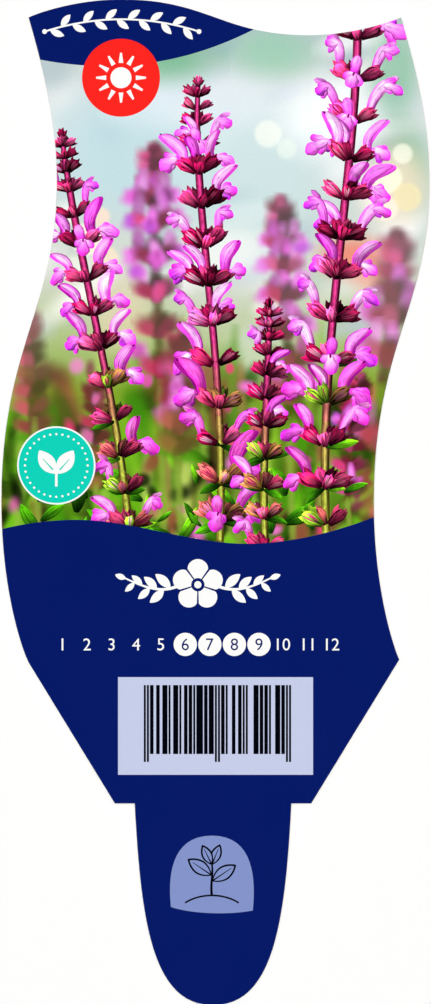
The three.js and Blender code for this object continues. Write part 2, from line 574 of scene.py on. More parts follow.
def front_flower(canvas, rng, x, y, up, size, tones):
    """An open flower that faces the viewer: a short hood over a wide lip."""
    petals, lobes = tones
    foot, tip = rng.choice(petals)
    seed = rng.uniform(0, 90)
    canvas.blade(Blade(x, y, up + rng.uniform(-24, 24), 0.8 * size, 0.27 * size, foot, tip,
                       bend=rng.uniform(-0.3, 0.3), seed=seed, **BROW_FORM))
    down = up + 180 + rng.uniform(-20, 20)
    for turn, reach, half in FACE_LOBES:
        lobe = rng.choice(lobes)
        length = reach * size * rng.uniform(0.85, 1.15)
        canvas.blade(Blade(x, y, down + turn, length, half * size, *lobe,
                           bend=rng.uniform(-0.15, 0.15),
                           seed=seed + turn, **FACE_FORM), 1.5)
    canvas.blade(Blade(x, y + 0.08 * size, down, 0.2 * size, 0.055 * size, *THROAT, neck=0.3,
                       light=0.1))


def bract(canvas, rng, x, y, angle, size, out):
    """A small leaf at a joint, folded along its middle."""
    canvas.blade(Blade(x, y, angle, size, rng.uniform(0.14, 0.24) * size, *rng.choice(LEAF),
                       bend=-out * rng.uniform(-0.1, 0.45), seed=rng.uniform(0, 90),
                       **BRACT_FORM))


def whorl_behind(canvas, rng, x, y, up, size, tones):
    """The cups that show past the stem from the far side of a joint."""
    for out in (-1, 1):
        if rng.random() < 0.55:
            cup(canvas, rng, x, y, up - out * rng.uniform(10, 30), 0.85 * size, tones, 0.55,
                ribs=0)


def whorl(canvas, rng, x, y, up, size, tones, flowers, green):
    """The cups, bracts and flowers of one joint, on both sides of the stem and before it."""
    bloom = LATE_TONES if green > LATE_FROM else FRESH_TONES
    for out in (-1, 1):
        gain = (SUNNY_SIDE if out < 0 else SHADED_SIDE) * rng.uniform(0.85, 1.15)
        if rng.random() < 0.8 * green:
            bract(canvas, rng, x, y - 0.1 * size, up - out * rng.uniform(48, 124),
                  size * rng.uniform(0.7, 1.45), out)
        low = up - out * rng.uniform(44, 66)
        foot = arm(x, y, up - out * 90, 0.14 * size)
        if rng.random() < 0.4:
            high = up - out * rng.uniform(16, 28)
            if rng.random() < 0.7 * flowers:
                side_flower(canvas, rng, *arm(x, y, high, 0.6 * size), up, out, 0.85 * size,
                            bloom)
            cup(canvas, rng, x, y, high, 0.85 * size, tones, gain * 0.75, ribs=0.3)
        if rng.random() < flowers:
            flower = hooked_flower if rng.random() < 0.3 else side_flower
            flower(canvas, rng, *arm(*foot, low, 0.72 * size), up, out,
                   size * rng.uniform(0.86, 1.14), bloom)
        cup(canvas, rng, *foot, low, size * rng.uniform(0.92, 1.1), tones, gain)
    if rng.random() < 0.3 * flowers:
        front_flower(canvas, rng, x + rng.uniform(-0.2, 0.2) * size, y + 0.25 * size, up, size,
                     bloom)
    elif rng.random() < 0.55:
        cup(canvas, rng, x, y - 0.12 * size, up + rng.uniform(-24, 24), 0.66 * size, tones,
            rng.uniform(0.8, 1.3), 1.2)


def spike(canvas, seed, chain, size, flowers, pitch, ripe, stem, offset):
    """A flower spike along a Bézier chain that starts at its tip. The first joints hold
    buds, the next ones open flowers, and past the ripe share of its length it greens. size
    is a cup's length, flowers the share of cups in bloom, pitch a joint's length in cups,
    stem its thickness, and offset how much of the spike lies beyond the chain's start."""
    rng = random.Random(seed)
    line = np.array(curve_points(chain, 60))
    run = np.concatenate([[0], np.cumsum(np.linalg.norm(np.diff(line, axis=0), axis=1))])
    total = run[-1]

    def spot(s):
        return np.interp(s, run, line[:, 0]), np.interp(s, run, line[:, 1])

    def at(s):
        """The place that far from the tip, and the angle of its way up."""
        x, y = spot(s)
        ahead_x, ahead_y = spot(max(s - 1.0, 0))
        return x, y, math.degrees(math.atan2(ahead_y - y, ahead_x - x))

    def share(value):
        return float(smooth(value))

    def blend(fresh_and_old, aged):
        fresh, old = map(np.array, fresh_and_old)
        return fresh * (1 - aged) + old * aged

    def tones(aged):
        return OLD_CUP if rng.random() < 0.75 * aged else CUP

    joints, s = [], 0.9 * size
    while s < total:
        grown = share((s + offset) / (6 * size))
        aged = share((s / total - ripe) / 0.25)
        # Only buds within nearly two cups' lengths of the tip, few flowers where it is old.
        opened = flowers * share((s + offset) / size / 2.2 - 0.8) * (1 - 0.65 * aged)
        joints.append((at(s), size * (0.62 + 0.38 * grown), opened, aged))
        s += size * (0.5 + (pitch - 0.5) * grown) * rng.uniform(0.92, 1.08)

    for place, grown, _, aged in joints:
        whorl_behind(canvas, rng, *place, grown, tones(aged))
    # The stem, piece by piece and each a little over the one above it, so none shows a gap.
    cuts = np.linspace(0.45 * size, total, max(3, int(total / 4)) + 1)
    gains = [rng.uniform(0.7, 1.15) for _ in cuts]
    for upper, lower, upper_gain, lower_gain in zip(cuts, cuts[1:], gains, gains[1:]):
        (x1, y1, _), (x0, y0, _) = at(max(upper - 0.3, 0.01)), at(lower)
        aged = share((lower / total - ripe) / 0.3)
        dark = blend(STEM_DARK, aged)
        half = 0.5 * stem * (0.6 + 0.4 * share((lower + offset) / (5 * size)))
        canvas.blade(Blade(x0, y0, math.degrees(math.atan2(y1 - y0, x1 - x0)),
                           math.hypot(x1 - x0, y1 - y0), half, toned(dark, lower_gain),
                           toned(dark, upper_gain), stripe=blend(STEM_LIT, aged), seed=seed,
                           start=total - lower, **STEM_FORM))
    x, y, up = at(0.5 * size)
    for turn, part in TIP_BUDS:
        cup(canvas, rng, x, y, up + turn, part * size, CUP, 0.9, ribs=0)
    for place, grown, opened, aged in joints:
        whorl(canvas, rng, *place, grown, tones(aged), opened, aged)


HAZE_STOPS = [
    # height, colour
    (79, (92, 124, 36)), (87, (110, 150, 42)), (95, (128, 168, 50)), (104, (146, 174, 64)),
    (113, (182, 198, 144)), (124, (211, 215, 204)), (138, (207, 217, 215)),
    (150, (215, 222, 223)), (160, (205, 213, 212)), (170, (180, 192, 198)),
]
HAZE_PATCHES = (
    # x, y, half width, half height, colour, strength, blur
    (-14, 146, 12, 9, (194, 219, 224), 0.75, 6.0),
    (6, 140, 10, 12, (204, 224, 225), 0.6, 6.0),
    (-2, 155, 14, 4, (232, 238, 242), 0.6, 3.0),
    (20, 152, 7, 6, (246, 250, 248), 0.7, 3.5),
    (2, 129, 8, 3, (240, 242, 238), 0.7, 2.5),
    (-8, 162, 7, 3, (120, 186, 146), 0.75, 3.0),
    (10, 163, 6, 3, (150, 206, 172), 0.6, 3.0),
    (31, 160, 3, 7, (150, 196, 170), 0.8, 2.5),
    (33, 143, 3, 6, (126, 180, 136), 0.7, 3.0),
    (24, 128, 4.5, 2.6, (234, 140, 116), 0.8, 2.4),
    (28, 124, 3, 2.0, (238, 168, 150), 0.6, 1.8),
    (-16, 118, 4, 5, (228, 214, 186), 0.6, 3.0),
    (34, 112, 3, 8, (120, 160, 80), 0.7, 3.0),
    (31, 140, 4.5, 5.5, (252, 232, 212), 0.65, 3.0),
    (8, 112, 4, 4, (214, 222, 208), 0.6, 2.5),
)
BRIGHT_DISCS = (
    # x, y, radius, colour, strength
    (-21.5, 131, 2.6, (253, 244, 224), 0.7), (-18.4, 127.6, 2.1, (250, 230, 205), 0.6),
    (-23.8, 126.2, 1.7, (236, 240, 226), 0.55), (-19.2, 134.8, 1.5, (255, 226, 206), 0.6),
    (9.4, 149, 2.2, (248, 250, 240), 0.5), (12.6, 146.4, 1.6, (238, 246, 236), 0.45),
    (-24.6, 134.9, 1.2, (250, 250, 238), 0.6), (29.8, 141.4, 2.4, (255, 248, 226), 0.8),
    (33.2, 138.2, 2.3, (240, 230, 190), 0.7), (29.6, 136.2, 1.9, (255, 240, 226), 0.7),
    (32.4, 145.6, 1.6, (250, 250, 236), 0.6),
)
SKY_TONES = [(248, 247, 247), (172, 190, 197), (234, 234, 232), (184, 204, 190),
             (255, 253, 250), (192, 202, 216)]
GREEN_TONES = [(84, 160, 18), (136, 206, 40), (44, 84, 8), (110, 170, 46), (172, 222, 66),
               (56, 112, 10), (150, 142, 60), (160, 94, 80), (20, 30, 6), (44, 70, 12),
               (120, 50, 60), (44, 20, 16)]
STALK_TONES = [(158, 196, 84), (120, 168, 60), (176, 150, 96), (196, 214, 120)]
BLOSSOM_TONES = [(236, 96, 196), (250, 140, 224), (206, 84, 140), (240, 70, 140),
                 (150, 60, 100)]
STALK_FOOT, STALK_PIECES = 78, 5


def scatter(haze, rng, count, tones, across, height, *ranges):
    """Soft patches at random. The ranges are of half width, half height, strength, blur and
    turn."""
    for _ in range(count):
        x, y = rng.uniform(*across), rng.uniform(*height)
        tone = rng.choice(tones)
        half_width, half_height, *rest = (rng.uniform(*r) for r in ranges)
        haze.patch(x, y, half_width, half_height, tone, *rest)


def garden_haze():
    """The blurred garden behind the spikes: pale water and sky above, greens below."""
    haze = Haze(HAZE_STOPS)
    rng = random.Random(4)
    # Glitter on the water and gaps between far trees.
    scatter(haze, rng, 60, SKY_TONES, (-38, 34), (112, 172), (1.5, 6), (0.8, 2.6),
            (0.4, 0.85), (0.9, 2.2), (5, 40))
    for patch in HAZE_PATCHES:
        haze.patch(*patch)
    # Bright discs, as the sun makes through an open lens.
    for x, y, r, colour, strength in BRIGHT_DISCS:
        haze.patch(x, y, r, r, colour, strength, 0.35)
        haze.patch(x, y, 0.8 * r, 0.8 * r, toned(colour, 0.97), 0.3 * strength, 0.5)
    # The green undergrowth, denser towards its foot.
    for _ in range(210):
        x, y = rng.uniform(-38, 32), 78 + 31 * rng.random() ** 1.6
        haze.patch(x, y, rng.uniform(0.4, 2.0), rng.uniform(1.2, 4.5), rng.choice(GREEN_TONES),
                   rng.uniform(0.5, 0.9), rng.uniform(0.7, 1.8), rng.uniform(-22, 22))
    # Thin stalks, then loose leaves, then specks of blossom.
    for _ in range(16):
        x, top = rng.uniform(-36, 30), rng.uniform(92, 116)
        tone = rng.choice(STALK_TONES)
        for k in range(STALK_PIECES):
            y = top + (STALK_FOOT - top) * (k + 0.5) / STALK_PIECES
            haze.patch(x + 0.5 * k * rng.uniform(-0.4, 0.4), y, 0.45, (top - STALK_FOOT) / 8,
                       tone, 0.7, 0.8, rng.uniform(-4, 4))
    for _ in range(90):
        x, y = rng.uniform(-38, 31), 77 + 21 * rng.random() ** 1.3
        haze.blur = rng.uniform(0.3, 0.9)
        haze.blade(Blade(x, y, 90 + rng.uniform(-75, 75), rng.uniform(2.5, 5.5),
                         rng.uniform(0.6, 1.3), *rng.choice(LEAF + HAZE_LEAF)))
    scatter(haze, rng, 36, BLOSSOM_TONES, (-36, 30), (80, 110), (0.4, 1.1), (0.5, 1.5),
            (0.6, 0.9), (0.3, 1.0), (-30, 30))
    return haze


FAR_SPIKES = (
    # blur, veil, seed, chain, size, flowers, pitch
    (0.8, 0.10, 31, [(-10, 147), (-11, 135), (-9, 120), (-9, 104)], 3.0, 0.9, 2.2),
    (0.8, 0.16, 32, [(11.5, 138), (12, 126), (13, 112), (13, 98)], 2.7, 0.8, 2.1),
    (1.1, 0.22, 33, [(31.5, 132), (31, 120), (29, 106), (28, 92)], 3.2, 0.9, 2.1),
    (0.8, 0.25, 34, [(-32, 119), (-31.5, 112), (-31, 104), (-30.5, 98)], 2.5, 0.1, 1.2),
    (0.9, 0.15, 35, [(-5, 116), (-6, 108), (-6, 100), (-6, 92)], 3.0, 0.3, 1.2),
    (0.5, 0.15, 36, [(-20.5, 107), (-20, 102), (-20, 96), (-20, 88)], 2.5, 0.4, 1.6),
    (0.35, 0.05, 37, [(25.5, 108), (24, 102), (23, 96), (23, 86)], 2.5, 0.2, 1.5),
)
NEAR_SPIKES = (
    # seed, chain, size, flowers, pitch, ripe, stem, offset
    (11, [(-2.5, 159), (-4, 135), (3, 110), (1, 76)], 3.9, 0.82, 1.75, 0.55, 1.35, 0),
    (13, [(-26, 150), (-24, 130), (-15, 100), (-14, 76)], 3.5, 0.82, 1.8, 0.5, 1.35, 0),
    (14, [(9.5, 121), (10, 110), (8, 95), (9, 76)], 3.4, 0.3, 1.5, 0.4, 1.35, 0),
    (12, [(24.6, 176), (26, 145), (17, 115), (19.6, 76)], 4.0, 0.88, 1.75, 0.62, 1.5, 20),
)
FAR_STALK = (150, 176, 76)


def flower_picture(page, haze):
    """Spikes from the far, blurred ones to the near, sharp ones."""
    for blur, veiling, seed, chain, size, flowers, pitch in FAR_SPIKES:
        haze.blur, haze.veiling = blur, veiling
        spike(haze, seed, chain, size, flowers, pitch, 0.5, 1.35, 0)
        # Its bare stalk, down out of the picture.
        x, y = chain[-1]
        reach = (y - STALK_FOOT) / 6
        for k in range(4):
            haze.patch(x + 0.2 * k, y - reach * (1.5 * k + 0.4), 0.4, reach, FAR_STALK, 0.8,
                       0.6 * blur)
    rng = random.Random(9)
    # Sharp leaves at the foot of the near spikes.
    for _ in range(46):
        x, y = rng.uniform(-37, 30), 76 + 14 * rng.random() ** 1.4
        bract(page, rng, x, y, 90 + rng.uniform(-70, 70), rng.uniform(3.0, 6.5),
              rng.choice((-1, 1)))
    for habit in NEAR_SPIKES:
        spike(page, *habit)


# ------------------------------------------------------------------ printed marks

VINE_LEAVES = 13
SPRIG_LEAVES = ((3, 1), (5, -1), (7, 1), (9, -1), (11, 1), (13, -1))  # stalk's point, side
EMBLEM_PATCH = ((-7.0, -5.6), (-3.5, -6.8), (3.0, -7.0), (7.0, -6.2), (7.5, -1.0), (7.3, 6.6),
                (0, 6.6), (-7.3, 6.6), (-7.5, -1.0), (-7.0, -5.6))
EMBLEM_MOUND = ((-4.6, -4.9), (-2, -3.2), (2, -3.2), (4.6, -4.9))
EMBLEM_STEM = ((0, -3.7), (-0.3, -1.5), (0.3, 0), (0, 1.8))
EMBLEM_LEAVES = (
    # foot's height, angle, length, half width
    (-1.2, 34, 5.0, 1.25), (-0.2, 146, 5.0, 1.25), (1.6, 68, 3.8, 0.95), (1.6, 116, 3.8, 0.95),
)
DROP = ((0, 0.75), (0.1, 0.4), (0.48, 0.1), (0.48, -0.22), (0.48, -0.8), (-0.48, -0.8),
        (-0.48, -0.22), (-0.48, 0.1), (-0.1, 0.4), (0, 0.75))


def placed(x, y, chain, scale=1):
    """Points that are given from a mark's middle."""
    return [(x + scale * a, y + scale * b) for a, b in chain]


def band_vine(page):
    """A leafy runner that follows the top band's arc."""
    def at(t):
        return VINE_MIDDLE + VINE_HALF * t, VINE_TOP - VINE_RISE * t * t

    page.line([at(t) for t in np.linspace(-1, 1, 41)], BARE, 0.3)
    for k in range(VINE_LEAVES):
        t = -0.93 + 1.73 * k / (VINE_LEAVES - 1)
        slope = math.degrees(math.atan2(-2 * VINE_RISE * t, VINE_HALF))
        up = 1 if k % 2 else -1
        page.leaf(*at(t), slope + up * 46, 2.6, 0.58, BARE, bend=-0.12 * up)
    for t in (-1, 1):
        page.lay(disc(*at(t), 0.42, 16), BARE)


def sun_badge(page):
    """A plain sun on a disc, for a sunny place."""
    x, y, r = RED_BADGE
    page.lay(disc(x, y, r, 72), RED)
    page.lay(disc(x, y, 0.27 * r, 36), BARE)
    for k in range(12):
        page.line(ray(x, y, 30 * k, 0.38 * r, 0.64 * r), BARE, 0.12 * r, 0.05 * r)


def leaf_badge(page):
    """A sprout of two leaves in a ring of dots, on a disc with a thin white rim."""
    x, y, r = TEAL_BADGE
    page.lay(disc(x, y, r, 72), BARE)
    page.lay(disc(x, y, r - 0.27, 72), TEAL)
    for k in range(32):
        page.lay(disc(*arm(x, y, 360 * k / 32, 0.8 * r), 0.03 * r, 8), BARE)
    page.line([(x, y - 3.6), (x, y - 0.6)], BARE, 0.42)
    for out in (-1, 1):
        lean = 90 - out * 42
        page.leaf(x, y - 1.4, lean, 4.9, 1.35, BARE, bend=0.1 * out)
        page.line(ray(x, y - 1.4, lean, 0.9, 3.4), TEAL, 0.28, 0.1)


def title_ornament(page):
    """A blossom between two leafy sprigs."""
    x, y = TITLE
    for out in (-1, 1):
        away = 0 if out > 0 else 180
        chain = placed(x, y, ((out * 3, 0), (out * 6, -1.6), (out * 9, -0.6), (out * 13, 1.4)))
        stalk = curve_points(chain, 16)
        page.line(stalk, BARE, 0.55, 0.25)
        for k, (i, up) in enumerate(SPRIG_LEAVES):
            page.leaf(*stalk[i], away + out * up * 52, 3.5 - 0.26 * k, 0.8 - 0.06 * k, BARE,
                      bend=-0.15 * out * up)
        page.leaf(*stalk[15], away + out * 20, 2.0, 0.5, BARE)
    for k in range(5):
        page.leaf(x, y, 90 + 72 * k, 4.4, 1.75, BARE, blunt=0.5, belly=1.5)
    for k in range(5):
        page.line(ray(x, y, 54 + 72 * k, 0.9, 3.2), NAVY, 0.2, 0.34)
    page.lay(disc(x, y, 1.15, 28), NAVY)
    page.lay(disc(x, y, 0.62, 20), BARE)


def border_loops(faces):
    """The closed borders of some of a mesh's faces, each as its corners in order."""
    chosen = set(faces)
    follow = {}
    for face in faces:
        for loop in face.loops:
            if sum(f in chosen for f in loop.edge.link_faces) == 1:
                follow[loop.vert] = loop.link_loop_next.vert
    loops = []
    while follow:
        vert, ring = next(iter(follow)), []
        while vert in follow:
            ring.append(vert)
            vert = follow.pop(vert)
        loops.append(ring)
    return loops


def figures(text, height):
    """A plain number's outlines, centred on the origin, and whether each is a hole."""
    curve = bpy.data.curves.new("figures", "FONT")
    curve.body = text
    curve.resolution_u = 5
    holder = bpy.data.objects.new("figures", curve)
    bm = bmesh.new()
    bm.from_mesh(holder.to_mesh())
    bmesh.ops.remove_doubles(bm, verts=bm.verts, dist=1e-5)
    outlines = [[vert.co.xy.to_tuple() for vert in ring] for ring in border_loops(list(bm.faces))]
    bm.free()
    holder.to_mesh_clear()
    bpy.data.objects.remove(holder)
    bpy.data.curves.remove(curve)
    every = np.array([p for outline in outlines for p in outline])
    low, high = every.min(0), every.max(0)
    scale = height / (high[1] - low[1])
    turn = 1 if max(map(signed_area, outlines), key=abs) > 0 else -1
    sized = [([tuple((np.array(p) - (low + high) / 2) * scale) for p in outline],
              signed_area(outline) * turn < 0) for outline in outlines]
    return sorted(sized, key=lambda pair: pair[1])


def month_row(page, middle, y, height, paper, ink):
    """The twelve months, with the flowering ones picked out."""
    for month in range(1, 13):
        x = middle + MONTH_PITCH * (month - 6.5)
        ground, figure_ink = paper, ink
        if month in FLOWERING_MONTHS:
            page.lay(disc(x, y, 0.475 * MONTH_PITCH, 32), ink)
            ground, figure_ink = ink, paper
        for outline, hole in figures(str(month), height):
            page.lay(placed(x, y, outline), ground if hole else figure_ink)


def bar_panel(page):
    """A made-up pattern of scanner bars, three sets of guards and no figures."""
    page.lay(box(*CODE_PANEL), LILAC)
    left, bottom, right, top = CODE_BARS
    step = (right - left) / MODULES
    spread = BAR_SPREAD / 2
    rng = random.Random(8)

    def bar(at, wide, foot):
        start, end = (left + m * step for m in (at - spread, at + wide + spread))
        page.lay(box(start, foot, end, top), BLACK)

    for guard in GUARDS:
        bar(guard, 1, GUARD_FOOT)
    for start, first_bar in ((3, 1), (50, 0)):
        # Six figures a side, each seven modules of two bars and two gaps.
        for figure in range(6):
            widths = [1, 1, 1, 1]
            for _ in range(3):
                widths[rng.randrange(4)] += 1
            at = start + 7 * figure
            for k, wide in enumerate(widths):
                if k % 2 == first_bar:
                    bar(at, wide, bottom)
                at += wide


def sprout_emblem(page):
    """A young plant in line on a pale blue patch."""
    x, y = EMBLEM
    page.lay(curve_points(placed(x, y, EMBLEM_PATCH), 16)[:-1], BLUE)
    page.line(curve_points(placed(x, y, EMBLEM_MOUND), 16), BLACK, 0.3)
    page.line(curve_points(placed(x, y, EMBLEM_STEM)), BLACK, 0.45, 0.3)
    for height, angle, length, half in EMBLEM_LEAVES:
        foot = x, y + height
        page.leaf(*foot, angle, length, half, BLACK)
        page.leaf(*arm(*foot, angle, 0.3), angle, length - 0.75, half - 0.3, BLUE)
        page.line(ray(*foot, angle, 0.2, 0.8 * length), BLACK, 0.26, 0.1)


def front_page(cut_line):
    """The front's print, and the haze that lies behind its picture."""
    page, haze = Page(), garden_haze()
    foot = curve_points(BAND_FOOT, 24)
    field_top = curve_points(FIELD_TOP, 20)
    page.lay(box(*PICTURE_GROUND), PICTURE)
    flower_picture(page, haze)
    page.lay(BAND_LEFT + foot + BAND_ABOVE, NAVY)
    page.lay(FIELD_BELOW + field_top[::-1] + FIELD_LEFT, NAVY)
    band_vine(page)
    sun_badge(page)
    leaf_badge(page)
    title_ornament(page)
    month_row(page, *FRONT_MONTHS, NAVY, BARE)
    bar_panel(page)
    sprout_emblem(page)

    under, over = np.array(field_top).T, np.array(foot).T
    for points in haze_points(haze):
        points = points[inside(cut_line, points)]
        x, y = points.T
        # Right of the band, the picture runs up past the cut line.
        low, high = np.interp(x, *under), np.interp(x, *over, right=ABOVE_ALL)
        shown = (y > low + GRID_MARGIN) & (y < high - GRID_MARGIN)
        page.loose.insert(0, ([tuple(p) for p in points[shown]], 1))
    return page, haze


def haze_points(haze):
    """Points that carry the soft background: an even net, and then more where the eye
    would see its colour bend between them."""
    left, bottom, right, top = NET_AREA
    # Even triangles half as wide as the grid's, with every second row shifted aside.
    rows, columns = np.arange(bottom, top, GRID * 0.433), np.arange(left, right, GRID * 0.5)
    shift = np.where(np.arange(len(rows)) % 2, GRID * 0.25, 0)
    x, y = columns[None, :] + shift[:, None], np.repeat(rows[:, None], len(columns), 1)
    c = haze.colours(np.stack([x.ravel(), y.ravel()], 1)).reshape(*x.shape, 3) ** (1 / 2.2)
    bend = np.zeros(x.shape)
    bend[:, 1:-1] = np.abs(c[:, 1:-1] - (c[:, :-2] + c[:, 2:]) / 2).max(2)
    bend[1:-1] = np.maximum(bend[1:-1], np.abs(c[1:-1] - (c[:-2] + c[2:]) / 2).max(2))
    row, column = np.indices(x.shape)
    net = (row % 2 == 0) & ((column + row // 2) % 2 == 0)
    for keep in (net, ~net & (bend > BEND_LIMIT)):
        yield np.stack([x[keep], y[keep]], 1)


def rounded_square(x, y, half, r):
    out = []
    for k, (sx, sy) in enumerate(((1, 1), (-1, 1), (-1, -1), (1, -1))):
        corner = x + sx * (half - r), y + sy * (half - r)
        out += [arm(*corner, 90 * k + 15 * j, r) for j in range(7)]
    return out


def arrow(page, x0, y0, x1, y1, wide, ink):
    """A line with a plain head at its end."""
    angle = math.degrees(math.atan2(y1 - y0, x1 - x0))
    neck = arm(x1, y1, angle, -2.4 * wide)
    page.line([(x0, y0), neck], ink, wide)
    page.lay([(x1, y1)] + [arm(*neck, angle + turn, 1.6 * wide) for turn in (90, -90)], ink)


def sprout(page, x, y, size):
    page.line([(x, y), (x, y + 0.62 * size)], BARE, 0.09 * size)
    for out in (-1, 1):
        page.leaf(x, y + 0.3 * size, 90 - out * 48, 0.62 * size, 0.17 * size, BARE, 0.12 * out)
    page.leaf(x, y + 0.45 * size, 90, 0.6 * size, 0.15 * size, BARE)


# The care signs, each drawn round (x, y) to fill a square of half width r.


def sun_sign(page, x, y, r, shaded=False):
    page.lay(disc(x, y, 0.4 * r, 40), BARE)
    if shaded:
        page.lay([arm(x, y, -90 + 10 * k, 0.31 * r) for k in range(19)], NAVY)
    for k in range(8):
        page.line(ray(x, y, 45 * k, 0.52 * r, 0.78 * r), BARE, 0.13 * r)


def half_shade_sign(page, x, y, r):
    sun_sign(page, x, y, r, shaded=True)


def drop_sign(page, x, y, r):
    page.lay(curve_points(placed(x, y, DROP, r), 12)[:-1], BARE)
    glint = [arm(x, y - 0.2 * r, angle, 0.3 * r) for angle in range(180, 271, 15)]
    page.line(glint, NAVY, 0.08 * r)


def height_sign(page, x, y, r):
    sprout(page, x + 0.18 * r, y - 0.6 * r, 1.2 * r)
    arrow(page, x - 0.5 * r, y - 0.55 * r, x - 0.5 * r, y + 0.68 * r, 0.09 * r, BARE)
    page.lay(box(x - 0.7 * r, y - 0.7 * r, x + 0.7 * r, y - 0.6 * r), BARE)


def spacing_sign(page, x, y, r):
    for out in (-1, 1):
        sprout(page, x + 0.44 * out * r, y - 0.15 * r, 0.78 * r)
        arrow(page, x, y - 0.5 * r, x + 0.66 * out * r, y - 0.5 * r, 0.08 * r, BARE)
    page.lay(box(x - 0.74 * r, y - 0.25 * r, x + 0.74 * r, y - 0.17 * r), BARE)


def frost_sign(page, x, y, r):
    for angle in range(30, 390, 60):
        page.line(ray(x, y, angle, 0, 0.74 * r), BARE, 0.1 * r)
        knee = arm(x, y, angle, 0.46 * r)
        for turn in (-45, 45):
            page.line(ray(*knee, angle + turn, 0, 0.24 * r), BARE, 0.08 * r)


def back_page():
    """Care signs in one colour on the white back, read from behind."""
    page = Page(mirrored=True)
    signs = sun_sign, half_shade_sign, drop_sign, height_sign, spacing_sign, frost_sign
    for k, sign in enumerate(signs):
        x, y = SIGNS_MIDDLE + SIGN_PITCH * (k % 3 - 1), SIGNS_TOP - SIGN_PITCH * (k // 3)
        page.lay(rounded_square(x, y, SIGN_HALF, SIGN_CORNER), NAVY)
        sign(page, x, y, SIGN_HALF)
    month_row(page, *BACK_MONTHS, BARE, NAVY)
    for rule in MONTH_RULES:
        page.lay(box(*rule), NAVY)
    arrow(page, *STAKE_ARROW, 1.1, NAVY)
    page.lay(box(*SOIL_LINE), NAVY)
    return page


# ------------------------------------------------------------------ the sheet's mesh

CLOSEST_POINTS = 1e-5  # millimetres: points closer than this become one
NO_LINES = np.zeros(3)

# The bake map holds the front and the back side by side, and the cut edge in three strips.
BAKE_SCALE = 0.98 / 172.0  # of the map, for each millimetre of the sheet
BAKE_MARGIN = 0.01
FRONT_COLUMN, BACK_COLUMN = 0.0, 0.44
EDGE_COLUMN, EDGE_STRIPS, EDGE_PITCH = 0.9, 3, 0.03
EDGE_WIDTH, EDGE_MARGIN = 0.024, 0.012


def inside(outline, points):
    """Which of the points lie inside a closed outline."""
    x, y = points.T
    odd = np.zeros(len(points), bool)
    for (x0, y0), (x1, y1) in zip(outline, np.roll(outline, -1, 0)):
        if y0 != y1:
            cross = (y0 > y) != (y1 > y)
            odd ^= cross & (x < (x1 - x0) * (y - y0) / (y1 - y0) + x0)
    return odd


def cut_outline():
    """The die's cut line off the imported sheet, counter-clockwise, in millimetres from
    the stake's tip, and the tip's place in the frame."""
    bm = bmesh.new()
    bm.from_mesh(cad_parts[SHEET].data)
    bmesh.ops.remove_doubles(bm, verts=bm.verts, dist=1e-7)
    ring, = border_loops([face for face in bm.faces if face.normal.z > 0.9])
    lowest = min(range(len(ring)), key=lambda k: ring[k].co.y)
    tip = ring[lowest].co.copy()
    line = [((vert.co.x - tip.x) / MM, (vert.co.y - tip.y) / MM)
            for vert in ring[lowest:] + ring[:lowest]]
    bm.free()
    return np.array(line), tip


def outward(line):
    """For each corner of the cut line, the step that moves both its sides out by 1."""
    edge = np.roll(line, -1, 0) - line
    edge /= np.linalg.norm(edge, axis=1)[:, None]
    normal = np.stack([edge[:, 1], -edge[:, 0]], 1)
    before = np.roll(normal, 1, 0)
    return (normal + before) / (1 + (normal * before).sum(1))[:, None]


def border_ring(field, spots, cells, origins):
    """The border of a cut-up field, as (point, where on the field), from its first corner
    on. 2.5 is half-way between the field's corners 2 and 3."""
    sides = {side for cell in cells for side in zip(cell, cell[1:] + cell[:1])}
    follow = {a: b for a, b in sides if (b, a) not in sides}
    corner = {}
    for k, origin in enumerate(origins):
        on_field = [i for i in origin if i < len(field)]
        if on_field:
            corner[k] = on_field[0]
    start = next(k for k in follow if corner.get(k) == 0)
    ring, here, last = [], start, 0
    while not ring or here != start:
        last = corner.get(here, last)
        gap = field[(last + 1) % len(field)] - field[last]
        past = np.array(spots[here]) - field[last]
        part = 0.0 if here in corner else float(past @ gap / (gap @ gap))
        ring.append((here, last + part))
        here = follow[here]
    return ring


def partition(field, page):
    """Cuts a face along every shape on it. Gives its points, its triangles, the shape on
    top of each triangle (-1 where bare) and its border."""
    points, faces = [], []
    for outline in [list(map(tuple, field))] + page.outlines:
        faces.append(list(range(len(points), len(points) + len(outline))))
        points.extend(outline)
    if page.loose:
        points.extend(page.bare_points())
    spots, _, cells, origins, _, owners = delaunay_2d_cdt(
        [Vector(p) for p in points], [], faces, 1, CLOSEST_POINTS, True)
    # Shape 0 is the field itself, and the highest number lies on top.
    kept = [(list(cell), max(owner) - 1) for cell, owner in zip(cells, owners) if 0 in owner]
    ring = border_ring(field, spots, [cell for cell, _ in kept], origins)
    used = sorted({i for cell, _ in kept for i in cell})
    number = {old: new for new, old in enumerate(used)}
    flat = np.array([spots[i] for i in used])
    cells = np.array([[number[i] for i in cell] for cell, _ in kept])
    owners = np.array([owner for _, owner in kept])
    return flat, cells, owners, [(number[i], where) for i, where in ring]


def along(values, where):
    """A value at a place between two corners of a closed line."""
    i = int(where)
    t = where - i
    return values[i] * (1 - t) + values[(i + 1) % len(values)] * t


